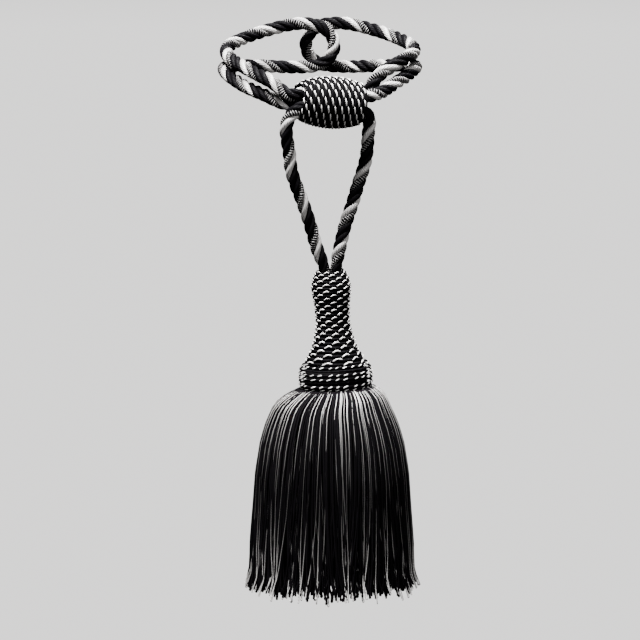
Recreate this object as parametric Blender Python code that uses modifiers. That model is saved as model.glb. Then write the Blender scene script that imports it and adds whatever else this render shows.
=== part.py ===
"""Curtain tieback with a tassel, hanging as it does round a gathered curtain.

A doubled rope, the embrace, runs through a cord-wound barrel at the front and over the
hook at the back. A second rope arches through the same barrel, and its two legs carry the
tassel: a cord-wound head, a collar of six cords and a skirt of fringe.

Blender units are metres, and the sizes below are millimetres, scaled by MM.
X is to the right, -Y is towards the viewer and +Z is up. The origin is the top of the hook's
stem, where the embrace hangs.
"""

import math

import bmesh
import bpy
import numpy as np
from mathutils import Euler, Matrix, Vector

MM = 0.001

# Rope: four plies with a right-hand lay.
ROPE_DIAMETER = 8.5
ROPE_LAY = 25.5
ROPE_PLIES = 4
ROPE_VALLEY = 0.74  # radius between two plies, as a share of the radius on one
STEPS_PER_LAY = 8

# Barrel: a short turned tube under a close winding of thin cord, turned and tipped on the rope.
BARREL_CENTRE = (7.0, -88.0, -40.0)
BARREL_YAW = math.radians(18)
BARREL_TIP = math.radians(4)
BARREL_LENGTH = 39.2
BARREL_END_RADIUS = 12.6
BARREL_MIDDLE_RADIUS = 16.3
BARREL_TURNS = 17
BARREL_BORE_RADIUS = 10.4
BARREL_MOUTH_RADIUS = 11.7
BARREL_MOUTH_DEPTH = 3.2
BARREL_SEGMENTS = 22

# Tassel: where its axis starts and how far it leans, its foot to the right, then its head
# from the rope seat down to the collar. Heights on it are those of an upright tassel.
TASSEL_TOP = (6.2, -88.0, -141.6)
TASSEL_LEAN = math.radians(2.9)
HEAD_TOP = -141.6
HEAD_SEAT_RADIUS = 7.3
HEAD_SEAT_DEPTH = 3.4
HEAD_PROFILE = (  # height, radius on the winding
    (-141.6, 8.5),
    (-143.6, 10.2),
    (-147.0, 11.8),
    (-152.0, 12.7),
    (-157.0, 12.3),
    (-163.0, 11.4),
    (-169.0, 11.1),
    (-174.5, 11.0),
    (-179.5, 11.9),
    (-185.0, 13.2),
    (-190.5, 15.1),
    (-194.3, 17.4),
    (-198.2, 19.3),
)
HEAD_FIRST_PITCH = 2.0
HEAD_LAST_PITCH = 3.0
HEAD_SEGMENTS = 18
WINDING_RELIEF = 0.55

# Collar: six cords laid round the fringe heading, one under another.
COLLAR_CORD_RADIUS = 1.0
COLLAR_PITCH = 2.3
COLLAR_TOP = -199.6
COLLAR_RADII = (19.9, 21.2, 22.0, 22.2, 21.9, 21.2)
COLLAR_SEGMENTS = (20, 6)

# Skirt: locks of fringe hanging from a heading.
HEADING_SIDE = (  # height, radius, from the head down to the lip above the locks
    (-198.5, 17.9),
    (-206.5, 20.5),
    (-212.3, 19.3),
)
HEADING_BOTTOM = -213.9
HEADING_ROOT_RADII = (21.6, 18.4, 15.2, 12.0)
SKIRT_PLACE = (7.4, -88.0, 0.0)
SKIRT_UPRIGHT_BELOW = -225.0
SKIRT_SECTORS = 50
SKIRT_OUTLINE = (  # height, radius of the outer locks' middle, width of a lock, its depth
    (-218.5, 28.6, 2.7, 2.6),
    (-229.0, 36.2, 3.3, 2.8),
    (-247.0, 43.0, 3.9, 3.0),
    (-288.0, 46.7, 4.3, 3.2),
    (-335.5, 49.0, 4.6, 3.0),
)
SKIRT_LAYERS = (  # share of the outer spread, steps used, share of a lock's width
    (1.0, (0, 1, 2, 3, 4), 1.0),
    (0.66, (1, 2, 4), 0.84),
    (0.34, (1, 4), 0.7),
)
SKIRT_ROOT_INSET = 0.22
LOCK_LENGTH_SPREAD = 2.2
LOCK_SIDE_SPREAD = 0.5
LOCK_DEPTH_SPREAD = 0.9

# The arch rope's two ends are pinched where they enter the head.
PINCH_LENGTH = 11.0
PINCH_SHARE = 0.74

# Where the three strands lie in the barrel's bore, as an angle round it from the back, at its
# left and right end faces, and how far the three of them hang below or lie above the axis.
STRAND_OFFSET = 5.2
BORE_ANGLES = {
    "arch": (-145, -105),
    "left_upper": (95, 135),
    "left_lower": (-25, 15),
}
BORE_SAG = (-0.8, 0.8)

# Routes through free air, listed by hand in the order the rope runs.
ARCH_LEFT_LEG = (
    (2.9, -88.0, -144.0),
    (2.2, -88.2, -139.5),
    (-0.8, -88.8, -131.5),
    (-3.9, -90.0, -121.5),
    (-6.8, -91.4, -111.3),
    (-10.2, -92.9, -101.0),
    (-14.2, -94.6, -90.5),
    (-17.5, -96.2, -79.5),
    (-18.7, -97.6, -69.0),
    (-20.3, -98.8, -58.5),
    (-19.0, -99.8, -49.4),
)
ARCH_RIGHT_LEG = (
    (29.6, -80.9, -49.2),
    (29.6, -81.0, -57.0),
    (28.7, -81.8, -69.5),
    (26.4, -83.1, -80.5),
    (23.2, -84.2, -90.0),
    (20.4, -85.2, -99.5),
    (17.2, -86.2, -109.0),
    (14.2, -87.0, -119.0),
    (11.7, -87.6, -130.0),
    (10.1, -87.9, -139.0),
    (9.6, -88.0, -144.0),
)
EMBRACE_RIGHT = (  # lower strand out to the hook, over it, and back along the upper strand
    (31.5, -84.0, -36.0),
    (38.5, -80.3, -33.6),
    (45.0, -74.0, -29.6),
    (52.4, -63.5, -25.6),
    (58.0, -50.0, -21.8),
    (58.4, -34.0, -20.4),
    (48.0, -14.5, -21.0),
    (29.0, -0.5, -22.2),
    (9.5, 4.7, -22.6),
    (-3.6, 4.7, -18.8),
    (-9.0, 4.7, -9.4),
    (-4.0, 4.7, 0.6),
    (8.5, 4.7, 4.7),
    (28.0, 1.5, 2.2),
    (47.0, -12.5, -3.4),
    (57.4, -31.5, -8.4),
    (57.3, -48.0, -11.8),
    (49.6, -63.5, -16.0),
    (40.6, -71.5, -21.0),
    (33.4, -75.3, -27.4),
)
EMBRACE_LEFT = (  # upper strand out to the hook, over it, and back along the lower strand
    (-17.4, -95.4, -35.0),
    (-26.3, -91.6, -29.6),
    (-35.4, -83.0, -24.6),
    (-44.2, -72.6, -20.6),
    (-51.8, -60.5, -16.8),
    (-57.2, -46.0, -13.2),
    (-56.9, -29.5, -8.6),
    (-46.0, -15.0, -3.4),
    (-28.0, -6.6, 2.0),
    (-8.5, -4.7, 4.7),
    (4.0, -4.7, 0.6),
    (9.0, -4.7, -9.4),
    (3.6, -4.7, -18.8),
    (-9.5, -4.7, -22.6),
    (-29.0, -8.6, -22.0),
    (-48.0, -19.5, -21.0),
    (-58.4, -36.0, -21.2),
    (-58.2, -51.0, -23.4),
    (-50.4, -65.5, -28.8),
    (-42.0, -76.0, -32.6),
    (-32.0, -84.8, -36.4),
    (-22.4, -89.8, -40.2),
)

COLOURS = {  # base colour, roughness
    "black": ((0.012, 0.011, 0.013), 0.45),
    "striped": ((0.12, 0.115, 0.12), 0.42),
}


def clear_scene():
    for obj in list(bpy.data.objects):
        bpy.data.objects.remove(obj, do_unlink=True)


def make_collection(name):
    collection = bpy.data.collections.new(name)
    bpy.context.scene.collection.children.link(collection)
    return collection


def make_material(name, look):
    colour, roughness = COLOURS[look]
    material = bpy.data.materials.new(name)
    material.use_nodes = True
    shader = material.node_tree.nodes["Principled BSDF"]
    shader.inputs["Base Color"].default_value = (*colour, 1.0)
    shader.inputs["Roughness"].default_value = roughness
    shader.inputs["Metallic"].default_value = 0.0
    return material


def add_object(name, data, look, collection):
    obj = bpy.data.objects.new(name, data)
    collection.objects.link(obj)
    data.materials.append(make_material(name, look))
    return obj


def barrel_matrix():
    """The barrel's own Z axis laid along its length, its X axis up and its Y axis to the back."""
    lay_down = Euler((0, math.pi / 2, 0)).to_matrix().to_4x4()
    tip = Matrix.Rotation(BARREL_TIP, 4, "Y")
    yaw = Matrix.Rotation(BARREL_YAW, 4, "Z")
    return Matrix.Translation(Vector(BARREL_CENTRE) * MM) @ yaw @ tip @ lay_down


def tassel_matrix():
    """The tassel's axis set leaning under its top, for points modelled upright about Z."""
    top = Matrix.Translation(Vector(TASSEL_TOP) * MM)
    lean = Matrix.Rotation(-TASSEL_LEAN, 4, "Y")
    return top @ lean @ Matrix.Translation((0, 0, -HEAD_TOP * MM))


def bore_point(strand, along):
    """A strand's centre in the bore, in mm: along is -1 at the left face and 1 at the right."""
    share = (along + 1) / 2
    left, right = BORE_ANGLES[strand]
    angle = math.radians(left + (right - left) * share)
    lift = BORE_SAG[0] + (BORE_SAG[1] - BORE_SAG[0]) * share
    local = Vector(
        (
            -(STRAND_OFFSET * math.sin(angle) + lift) * MM,
            STRAND_OFFSET * math.cos(angle) * MM,
            along * BARREL_LENGTH / 2 * MM,
        )
    )
    return tuple((barrel_matrix() @ local) / MM)


def smooth_path(route, step):
    """Points a step apart along the natural cubic spline through the route."""
    knots = np.array(route, float)
    spans = np.linalg.norm(np.diff(knots, axis=0), axis=1)
    at = np.concatenate([[0.0], np.cumsum(spans)])
    count = len(knots)
    system = np.eye(count)
    slopes = np.diff(knots, axis=0) / spans[:, None]
    right_side = np.zeros_like(knots)
    for i in range(1, count - 1):
        system[i, i - 1] = spans[i - 1]
        system[i, i] = 2 * (spans[i - 1] + spans[i])
        system[i, i + 1] = spans[i]
        right_side[i] = 6 * (slopes[i] - slopes[i - 1])
    bends = np.linalg.solve(system, right_side)
    dense = []
    for i, span in enumerate(spans):
        for t in np.linspace(0.0, span, 24, endpoint=False):
            left, right = span - t, t
            dense.append(
                (bends[i] * left**3 + bends[i + 1] * right**3) / (6 * span)
                + (knots[i] / span - bends[i] * span / 6) * left
                + (knots[i + 1] / span - bends[i + 1] * span / 6) * right
            )
    dense.append(knots[-1])
    dense = np.array(dense)
    run = np.concatenate(
        [[0.0], np.cumsum(np.linalg.norm(np.diff(dense, axis=0), axis=1))]
    )
    stations = np.linspace(0.0, run[-1], max(2, round(run[-1] / step) + 1))
    return np.stack([np.interp(stations, run, dense[:, k]) for k in range(3)], axis=1)


def ply_section():
    """The rope's section: a lobe for each ply, as a closed flat curve of unit radius."""
    curve = bpy.data.curves.new("ply_section", "CURVE")
    curve.dimensions = "2D"
    spline = curve.splines.new("POLY")
    corners = 2 * ROPE_PLIES
    spline.points.add(corners - 1)
    for i, point in enumerate(spline.points):
        angle = -math.tau * i / corners
        radius = ROPE_DIAMETER / 2 * MM * (ROPE_VALLEY if i % 2 else 1.0)
        point.co = (radius * math.cos(angle), radius * math.sin(angle), 0, 1)
    spline.use_cyclic_u = True
    return curve


def rope_sizes(path, pinched_ends):
    """The rope's thickness along its path, as a share of its full diameter."""
    run = np.concatenate(
        [[0.0], np.cumsum(np.linalg.norm(np.diff(path, axis=0), axis=1))]
    )
    if not pinched_ends:
        return np.ones(len(path))
    from_end = np.minimum(run, run[-1] - run)
    return np.interp(from_end, (0.0, PINCH_LENGTH), (PINCH_SHARE, 1.0))


def add_rope(name, route, section, collection, pinched_ends=False):
    step = ROPE_LAY / STEPS_PER_LAY
    path = smooth_path(route, step)
    sizes = rope_sizes(path, pinched_ends)
    curve = bpy.data.curves.new(name, "CURVE")
    curve.dimensions = "3D"
    curve.twist_mode = "MINIMUM"
    curve.bevel_mode = "OBJECT"
    curve.bevel_object = section
    curve.use_fill_caps = True
    spline = curve.splines.new("POLY")
    spline.points.add(len(path) - 1)
    for i, point in enumerate(spline.points):
        point.co = (*(path[i] * MM), 1)
        point.tilt = math.tau * i / STEPS_PER_LAY
        point.radius = sizes[i]
    return add_object(name, curve, "striped", collection)


def turned_mesh(name, profile, segments, collection, look):
    """A profile of (radius, height) in mm, outer side running down, turned about Z."""
    mesh = bpy.data.meshes.new(name)
    points = [(radius * MM, 0, height * MM) for radius, height in profile]
    closed = profile[0][0] > 0
    edges = [(i, i + 1) for i in range(len(points) - 1)]
    if closed:
        edges.append((len(points) - 1, 0))
    mesh.from_pydata(points, edges, [])
    obj = add_object(name, mesh, look, collection)
    screw = obj.modifiers.new("turn", "SCREW")
    screw.axis = "Z"
    screw.steps = segments
    screw.render_steps = segments
    screw.use_merge_vertices = True
    screw.merge_threshold = 0.00001
    screw.use_smooth_shade = True
    return obj


def barrel_radius(height):
    share = 2 * height / BARREL_LENGTH
    return BARREL_END_RADIUS + (BARREL_MIDDLE_RADIUS - BARREL_END_RADIUS) * (
        1 - share**2
    )


def add_barrel(collection):
    half = BARREL_LENGTH / 2
    pitch = BARREL_LENGTH / BARREL_TURNS
    outer = []
    for turn in range(BARREL_TURNS):
        top = half - turn * pitch
        if turn:
            outer.append((barrel_radius(top) - WINDING_RELIEF, top))
        middle = top - pitch / 2
        outer.append((barrel_radius(middle), middle))
    lip = BARREL_END_RADIUS - WINDING_RELIEF
    inner = [
        (BARREL_MOUTH_RADIUS, -half),
        (BARREL_BORE_RADIUS, -half + BARREL_MOUTH_DEPTH),
        (BARREL_BORE_RADIUS, half - BARREL_MOUTH_DEPTH),
        (BARREL_MOUTH_RADIUS, half),
    ]
    profile = [(lip, half), *outer, (lip, -half), *inner]
    obj = turned_mesh("barrel", profile, BARREL_SEGMENTS, collection, "striped")
    obj.matrix_world = barrel_matrix()


def winding_rows(profile, first_pitch, last_pitch):
    """(radius, height) of each turn's crest, and of the groove before the next one."""
    heights = np.array([height for height, _ in profile])
    radii = np.array([radius for _, radius in profile])
    run = np.concatenate([[0.0], np.cumsum(np.hypot(np.diff(heights), np.diff(radii)))])
    turns = round(run[-1] / ((first_pitch + last_pitch) / 2))
    pitches = np.linspace(first_pitch, last_pitch, turns)
    edges = np.concatenate([[0.0], np.cumsum(pitches)]) * run[-1] / pitches.sum()
    rows = []
    for i in range(turns):
        crest = (edges[i] + edges[i + 1]) / 2
        rows.append((np.interp(crest, run, radii), np.interp(crest, run, heights)))
        if i < turns - 1:
            groove = edges[i + 1]
            rows.append(
                (
                    np.interp(groove, run, radii) - WINDING_RELIEF,
                    np.interp(groove, run, heights),
                )
            )
    return rows


def add_head(collection):
    rows = winding_rows(HEAD_PROFILE, HEAD_FIRST_PITCH, HEAD_LAST_PITCH)
    seat_floor = HEAD_TOP - HEAD_SEAT_DEPTH
    base_height, base_radius = HEAD_PROFILE[-1]
    profile = [
        (0, seat_floor),
        (HEAD_SEAT_RADIUS, seat_floor),
        (HEAD_SEAT_RADIUS, HEAD_TOP),
        *rows,
        (base_radius - WINDING_RELIEF, base_height),
        (0, base_height),
    ]
    obj = turned_mesh("head", profile, HEAD_SEGMENTS, collection, "striped")
    obj.matrix_world = tassel_matrix()


def add_collar(collection):
    major, minor = COLLAR_SEGMENTS
    for i, radius in enumerate(COLLAR_RADII):
        height = COLLAR_TOP - COLLAR_PITCH * i
        bpy.ops.mesh.primitive_torus_add(
            major_radius=radius * MM,
            minor_radius=COLLAR_CORD_RADIUS * MM,
            major_segments=major,
            minor_segments=minor,
        )
        ring = bpy.context.object
        ring.name = ring.data.name = f"collar_cord_{i + 1}"
        ring.matrix_world = tassel_matrix() @ Matrix.Translation((0, 0, height * MM))
        ring.data.materials.append(
            make_material(ring.name, "black" if i in (1, 4) else "striped")
        )
        ring.data.shade_smooth()
        for other in list(ring.users_collection):
            other.objects.unlink(ring)
        collection.objects.link(ring)


def heading_mesh():
    """The heading as a mesh whose underside holds one face for each lock's root."""
    scratch = make_collection("scratch")
    profile = [
        (0, HEADING_SIDE[0][0]),
        *((radius, height) for height, radius in HEADING_SIDE),
        *((radius, HEADING_BOTTOM) for radius in HEADING_ROOT_RADII),
        (0, HEADING_BOTTOM),
    ]
    turned = turned_mesh("heading", profile, SKIRT_SECTORS, scratch, "black")
    bpy.context.view_layer.update()
    graph = bpy.context.evaluated_depsgraph_get()
    mesh = bpy.data.meshes.new_from_object(turned.evaluated_get(graph))
    bpy.data.objects.remove(turned, do_unlink=True)
    bpy.data.collections.remove(scratch)
    return mesh


def root_layer(face):
    """Which ring of roots a face of the underside belongs to, or None."""
    centre = face.calc_center_median()
    if face.normal.z > -0.99 or centre.z > (HEADING_BOTTOM + 0.1) * MM:
        return None
    radius = math.hypot(centre.x, centre.y) / MM
    rings = zip(HEADING_ROOT_RADII, HEADING_ROOT_RADII[1:])
    for layer, (outer, inner) in enumerate(rings):
        if inner * 0.99 < radius < outer:
            return layer
    return None


def lock_corners(angle, radius, width, depth, height):
    """A lock's four corners at one height, turning the same way round as its root face."""
    out = Vector((math.cos(angle), math.sin(angle), 0))
    side = Vector((-out.y, out.x, 0))
    centre = out * radius + Vector((0, 0, height))
    corners = []
    for across, outward in ((-1, -1), (-1, 1), (1, 1), (1, -1)):
        corners.append(
            (centre + side * (across * width / 2) + out * (outward * depth / 2)) * MM
        )
    return corners


def sector_of(face):
    """The number of the sector that a lock hangs in, and the angle of the sector's middle."""
    centre = face.calc_center_median()
    width = math.tau / SKIRT_SECTORS
    sector = math.floor(math.atan2(centre.y, centre.x) / width) % SKIRT_SECTORS
    return sector, (sector + 0.5) * width


def corner_order(face, angle):
    """The face's corners in the order of lock_corners, told from where each one lies."""
    centre = face.calc_center_median()
    out = Vector((math.cos(angle), math.sin(angle), 0))
    side = Vector((-out.y, out.x, 0))
    signs = {}
    for vert in face.verts:
        offset = vert.co - centre
        signs[(offset.dot(side) > 0, offset.dot(out) > 0)] = vert
    return [
        signs[key]
        for key in ((False, False), (False, True), (True, True), (True, False))
    ]


def lean_heading(bm):
    """Leans the heading with the tassel, while the locks below it hang upright."""
    lean = Matrix.Translation(-Vector(SKIRT_PLACE) * MM) @ tassel_matrix()
    for vert in bm.verts:
        share = np.interp(vert.co.z / MM, (SKIRT_UPRIGHT_BELOW, HEADING_BOTTOM), (0, 1))
        vert.co = vert.co.lerp(lean @ vert.co, share)


def add_skirt(collection):
    mesh = heading_mesh()
    mesh.name = "skirt"
    bm = bmesh.new()
    bm.from_mesh(mesh)
    bmesh.ops.remove_doubles(bm, verts=bm.verts, dist=0.00001)
    bm.normal_update()
    layers = {}
    for face in bm.faces:
        layer = root_layer(face)
        if layer is not None:
            layers.setdefault(layer, []).append(face)
    spread = np.random.default_rng(7)
    outer_root = sum(HEADING_ROOT_RADII[:2]) / 2
    for layer, roots in sorted(layers.items()):
        share, steps, width_share = SKIRT_LAYERS[layer]
        root_radius = sum(HEADING_ROOT_RADII[layer : layer + 2]) / 2
        bmesh.ops.inset_individual(bm, faces=roots, thickness=SKIRT_ROOT_INSET * MM)
        wander = spread.uniform(-1, 1, (SKIRT_SECTORS, 3))
        for step in steps:
            height, outline, width, depth = SKIRT_OUTLINE[step]
            roots = bmesh.ops.extrude_discrete_faces(bm, faces=roots)["faces"]
            radius = root_radius + (outline - outer_root) * share
            fall = (HEADING_BOTTOM - height) / (HEADING_BOTTOM - SKIRT_OUTLINE[-1][0])
            for face in roots:
                sector, angle = sector_of(face)
                longer, aside, inward = wander[sector]
                corners = lock_corners(
                    angle + aside * LOCK_SIDE_SPREAD * fall / radius,
                    radius + inward * LOCK_DEPTH_SPREAD * fall,
                    width * width_share,
                    depth,
                    height + longer * LOCK_LENGTH_SPREAD * fall**2,
                )
                for vert, corner in zip(corner_order(face, angle), corners):
                    vert.co = corner
    lean_heading(bm)
    bm.to_mesh(mesh)
    bm.free()
    mesh.materials.clear()
    obj = add_object("skirt", mesh, "striped", collection)
    obj.location = Vector(SKIRT_PLACE) * MM


def add_ropes(collection, guides):
    section = bpy.data.objects.new("ply_section", ply_section())
    guides.objects.link(section)
    section.hide_render = True
    section.display_type = "WIRE"
    through = (-1.0, -0.5, 0.0, 0.5, 1.0)
    arch = [
        *ARCH_LEFT_LEG,
        *(bore_point("arch", along) for along in through),
        *ARCH_RIGHT_LEG,
    ]
    add_rope("arch_rope", arch, section, collection, pinched_ends=True)
    splice = 0.02  # its two ends meet end to end in the middle of the bore
    embrace = [
        *(bore_point("left_upper", along) for along in (splice, 0.5, 1.0)),
        *EMBRACE_RIGHT,
        *(bore_point("left_lower", along) for along in reversed(through)),
        *reversed(EMBRACE_LEFT),
        *(bore_point("left_upper", along) for along in (-1.0, -0.5, -splice)),
    ]
    add_rope("embrace_rope", embrace, section, collection)


def main():
    clear_scene()
    parts = make_collection("curtain_tieback_tassel")
    guides = make_collection("guides")
    add_ropes(parts, guides)
    add_barrel(parts)
    add_head(parts)
    add_collar(parts)
    add_skirt(parts)


main()
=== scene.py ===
"""Looks of a curtain tieback with a tassel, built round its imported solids.

The ropes are laid from four plies, the barrel and the head are wound with a two-ply cord,
and the skirt is bullion fringe: each yarn hangs doubled, with its two legs meeting at the
foot. Sizes below are millimetres, scaled by MM; the frame is in metres.
"""

import math
from collections import namedtuple

import bmesh
import bpy
import numpy as np
from mathutils import Euler, Matrix, Vector


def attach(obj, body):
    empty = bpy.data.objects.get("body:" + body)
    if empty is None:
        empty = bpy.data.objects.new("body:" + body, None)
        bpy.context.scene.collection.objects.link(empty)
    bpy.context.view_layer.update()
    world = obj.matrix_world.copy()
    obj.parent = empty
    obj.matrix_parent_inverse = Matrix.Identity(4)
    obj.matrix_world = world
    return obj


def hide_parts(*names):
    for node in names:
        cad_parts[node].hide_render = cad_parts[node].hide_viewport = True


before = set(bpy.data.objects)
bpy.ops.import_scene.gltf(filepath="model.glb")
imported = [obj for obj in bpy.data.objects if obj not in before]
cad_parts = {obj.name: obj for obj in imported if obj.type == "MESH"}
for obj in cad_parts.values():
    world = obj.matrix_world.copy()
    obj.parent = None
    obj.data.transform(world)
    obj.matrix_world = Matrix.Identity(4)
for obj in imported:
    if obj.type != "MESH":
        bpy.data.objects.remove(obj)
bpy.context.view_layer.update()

MM = 0.001

# ---------------------------------------------------------------- sizes shared with the solids

ROPE_LAY = 25.5
ROPE_PLIES = 4

BARREL_CENTRE = (7.0, -88.0, -40.0)
BARREL_YAW = math.radians(18)
BARREL_TIP = math.radians(4)
BARREL_LENGTH = 39.2
BARREL_END_RADIUS = 12.6
BARREL_MIDDLE_RADIUS = 16.3
BARREL_BORE_RADIUS = 10.4
BARREL_MOUTH_RADIUS = 11.7
BARREL_MOUTH_DEPTH = 3.2

TASSEL_TOP = (6.2, -88.0, -141.6)
TASSEL_LEAN = math.radians(2.9)  # its foot swings to the right
HEAD_TOP = -141.6
HEAD_SEAT_RADIUS = 7.3
HEAD_SEAT_DEPTH = 3.4
HEAD_PROFILE = (  # height, radius on the winding
    (-141.6, 8.5),
    (-143.6, 10.2),
    (-147.0, 11.8),
    (-152.0, 12.7),
    (-157.0, 12.3),
    (-163.0, 11.4),
    (-169.0, 11.1),
    (-174.5, 11.0),
    (-179.5, 11.9),
    (-185.0, 13.2),
    (-190.5, 15.1),
    (-194.3, 17.4),
    (-198.2, 19.3),
)

COLLAR_PITCH = 2.3
COLLAR_TOP = -199.6
COLLAR_RADII = (19.9, 21.2, 22.0, 22.2, 21.9, 21.2)
COLLAR_BLACK = (1, 4)  # the cords that are black throughout

HEADING_BOTTOM = -213.9
HEADING_RADIUS = 20.0
SKIRT_OUTLINE = (  # height, radius of the outer yarns
    (-213.6, 19.6),
    (-214.8, 24.0),
    (-218.6, 30.2),
    (-223.4, 34.3),
    (-229.0, 37.6),
    (-238.0, 41.3),
    (-248.0, 44.3),
    (-267.0, 47.2),
    (-288.0, 48.3),
    (-312.0, 49.9),
    (-336.5, 50.4),
)
SKIRT_PLACE = (7.4, -88.0, 0.0)
SKIRT_UPRIGHT_BELOW = -225.0

PINCH_LENGTH = 11.0
PINCH_SHARE = 0.74

STRAND_OFFSET = 5.2
BORE_ANGLES = {
    "arch": (-145, -105),
    "left_upper": (95, 135),
    "left_lower": (-25, 15),
}
BORE_SAG = (-0.8, 0.8)

ARCH_LEFT_LEG = (
    (2.9, -88.0, -144.0),
    (2.2, -88.2, -139.5),
    (-0.8, -88.8, -131.5),
    (-3.9, -90.0, -121.5),
    (-6.8, -91.4, -111.3),
    (-10.2, -92.9, -101.0),
    (-14.2, -94.6, -90.5),
    (-17.5, -96.2, -79.5),
    (-18.7, -97.6, -69.0),
    (-20.3, -98.8, -58.5),
    (-19.0, -99.8, -49.4),
)
ARCH_RIGHT_LEG = (
    (29.6, -80.9, -49.2),
    (29.6, -81.0, -57.0),
    (28.7, -81.8, -69.5),
    (26.4, -83.1, -80.5),
    (23.2, -84.2, -90.0),
    (20.4, -85.2, -99.5),
    (17.2, -86.2, -109.0),
    (14.2, -87.0, -119.0),
    (11.7, -87.6, -130.0),
    (10.1, -87.9, -139.0),
    (9.6, -88.0, -144.0),
)
EMBRACE_RIGHT = (  # lower strand out to the hook, over it, and back along the upper strand
    (31.5, -84.0, -36.0),
    (38.5, -80.3, -33.6),
    (45.0, -74.0, -29.6),
    (52.4, -63.5, -25.6),
    (58.0, -50.0, -21.8),
    (58.4, -34.0, -20.4),
    (48.0, -14.5, -21.0),
    (29.0, -0.5, -22.2),
    (9.5, 4.7, -22.6),
    (-3.6, 4.7, -18.8),
    (-9.0, 4.7, -9.4),
    (-4.0, 4.7, 0.6),
    (8.5, 4.7, 4.7),
    (28.0, 1.5, 2.2),
    (47.0, -12.5, -3.4),
    (57.4, -31.5, -8.4),
    (57.3, -48.0, -11.8),
    (49.6, -63.5, -16.0),
    (40.6, -71.5, -21.0),
    (33.4, -75.3, -27.4),
)
EMBRACE_LEFT = (  # upper strand out to the hook, over it, and back along the lower strand
    (-17.4, -95.4, -35.0),
    (-26.3, -91.6, -29.6),
    (-35.4, -83.0, -24.6),
    (-44.2, -72.6, -20.6),
    (-51.8, -60.5, -16.8),
    (-57.2, -46.0, -13.2),
    (-56.9, -29.5, -8.6),
    (-46.0, -15.0, -3.4),
    (-28.0, -6.6, 2.0),
    (-8.5, -4.7, 4.7),
    (4.0, -4.7, 0.6),
    (9.0, -4.7, -9.4),
    (3.6, -4.7, -18.8),
    (-9.5, -4.7, -22.6),
    (-29.0, -8.6, -22.0),
    (-48.0, -19.5, -21.0),
    (-58.4, -36.0, -21.2),
    (-58.2, -51.0, -23.4),
    (-50.4, -65.5, -28.8),
    (-42.0, -76.0, -32.6),
    (-32.0, -84.8, -36.4),
    (-22.4, -89.8, -40.2),
)

# ---------------------------------------------------------------- sizes of the fine work

SPLINE_POINTS = 24  # from one knot of a route to the next
LEAST_CROSSING = 0.1  # a normal that starts shorter than this is taken another way
WELD = 1e-7  # points this near are one, in metres
MOULD_SEGMENTS = 48  # round what lies under the windings and the skirt

PLY_RADIUS = 1.74
PLY_OFFSET = 2.5  # from the rope's middle to a ply's
SILVER_ROUNDNESS = 4
PLY_ROUNDNESS = 3
STATIONS_PER_LAY = 16
THREAD_RADIUS = 0.3  # the thread laid round the striped ply
THREAD_PITCH = 1.35
THREAD_SINK = 0.12
THREAD_ROUNDNESS = 0
THREAD_STATIONS = 10  # for one turn
THROUGH_BORE = (-1.0, -0.5, 0.0, 0.5, 1.0)  # from the bore's left face to its right
SPLICE = 0.02  # the rope's two ends meet end to end in the middle of the bore
ARCH_SLIP = (  # distance along the arch, how far its lay has slipped on
    (15.0, 3.9),
    (100.0, 9.9),
    (165.0, -1.8),
    (240.0, -6.3),
)
EMBRACE_SLIP = (
    (0.0, 0.0),
    (24.0, -0.9),
    (40.0, -10.0),
    (67.0, -7.0),
    (110.0, 0.0),
    (250.0, 0.0),
    (290.0, 3.0),
    (317.0, 6.0),
    (394.5, 7.4),
    (419.6, 6.8),
    (448.0, 9.0),
    (500.0, 0.0),
    (620.0, 0.0),
    (657.0, -3.6),
    (683.5, -3.4),
    (711.0, -1.0),
    (750.0, 0.0),
)

CORD_RADIUS = 1.12  # the two-ply cord of the windings
SILVER_PLY_RADIUS = 0.47
SILVER_LIFT = 0.15  # how far out of the cord's middle the silver ply lies
SILVER_RISE = 0.55  # how far it rises and dives
SILVER_SWING = 0.42  # and swings to the sides
SILVER_FULL = math.radians(60)  # the silver ply is squeezed thin between these angles
SILVER_GONE = math.radians(104)
SILVER_LEAST = 0.3
BARREL_SILVER_SHARE = 0.9  # how slim the silver ply is on the barrel
HEAD_SILVER_SHARE = 0.82  # and on the head and the collar
BLACK_PLY_RADIUS = 0.7
BLACK_RISE = 0.2
BARREL_TURNS = 17.5
BARREL_LAYS_PER_TURN = 9.5
BARREL_RIM = ((0, 1, 2), (0.0, -1.5, -3.4), (0.0, -1.2, -2.2))  # past its left end
END_TURN_TILT = math.radians(70)
END_TURN_POWER = 6  # the tilt keeps to the barrel's ends
TUBE_DEPTH = 1.7  # from the winding's crest down to the tube under it
TUBE_SWELL = 0.5  # how much less that is at the ends
TUBE_SHORTER = 0.4  # than the winding, at each end
TUBE_RINGS = 15
MOUTH_NARROWER = 0.7
HEAD_LAYS_PER_TURN = 8.5
HEAD_PEAK = 0.7  # how far a dash is set off to the side at its middle
HEAD_FIRST_PITCH = 2.0
HEAD_LAST_PITCH = 2.8
STATIONS_PER_TURN = 114
MOULD_DEPTH = 1.6  # from the winding's crest down to the mould under it
MOULD_LOWER = 0.6
MOULD_LEAST_RADIUS = HEAD_SEAT_RADIUS - 0.3
MOULD_SEAT_RADIUS = HEAD_SEAT_RADIUS - 0.6
MOULD_TOP = HEAD_TOP - 1.2

COLLAR_LAYS = 25
COLLAR_SHARES = (0.9, 0.9, 0.8, 0.85, 0.9, 1.0)  # the collar's cords beside the windings'
COLLAR_SWELL = 0.7  # how far out the last one lies
COLLAR_WAVE = 0.2  # how far a cord rises and dips on its way round
COLLAR_UNEVEN = 0.9  # how much its lay wanders
COLLAR_WANDER = ((5, 1.0), (11, 0.6))  # times round, and how much each time
COLLAR_STATIONS = 10  # for one lay
HEADER_HEIGHT = -213.3  # the thin cord that the fringe hangs from
HEADER_RADIUS = 21.7
HEADER_SHARE = 0.52

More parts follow.
